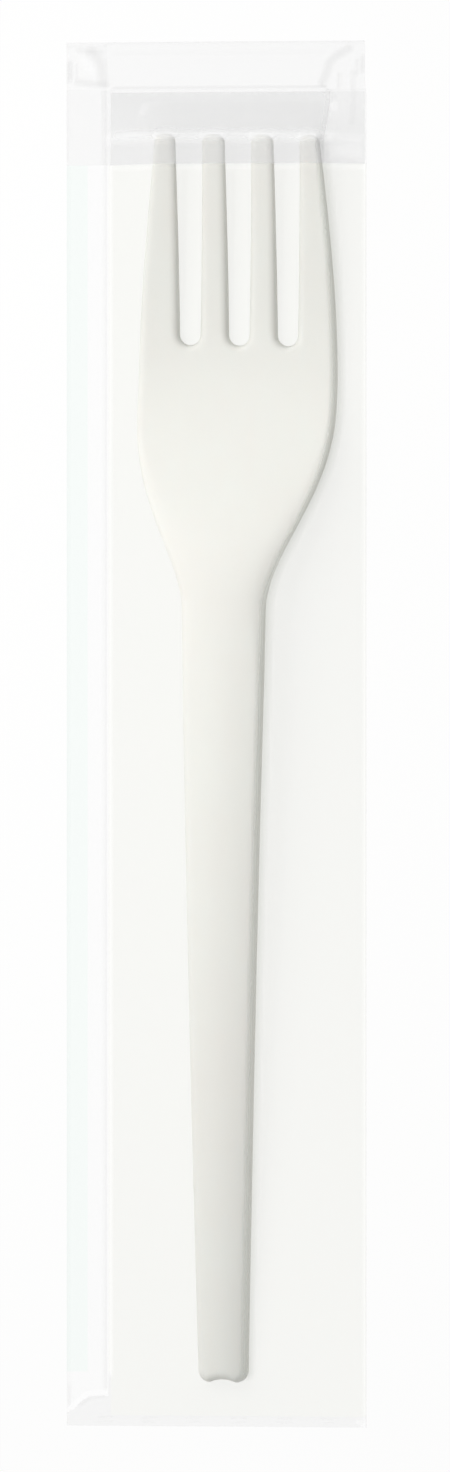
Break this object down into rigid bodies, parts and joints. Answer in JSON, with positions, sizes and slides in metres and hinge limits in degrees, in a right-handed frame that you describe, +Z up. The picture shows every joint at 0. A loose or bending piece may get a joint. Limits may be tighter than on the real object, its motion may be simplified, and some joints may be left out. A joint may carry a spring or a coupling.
{
  "type": "wrapped bioplastic fork",
  "caption": "Off-white moulded bioplastic fork lying loose in a flat clear film bag with a welded side, a welded end and a folded-down mouth flap.",
  "frame": {"origin": "centre of the bag's back panel on the surface it lies on, which is the bottom centre of the bounding box", "axes": "+Y along the pack towards the tips of the tines and the folded mouth, +Z up through the front panel, +X to the right as the front is seen"},
  "size_m": [0.0406, 0.184, 0.0118],
  "materials": {
    "bioplastic": "satin injection-moulded off-white bioplastic with a fine sparked texture",
    "clear_film": "thin glossy clear film, a little milky where it lies in several layers"
  },
  "bodies": {
    "root": {"fork": "bioplastic", "film_bag": "clear_film"}
  },
  "joints": []
}
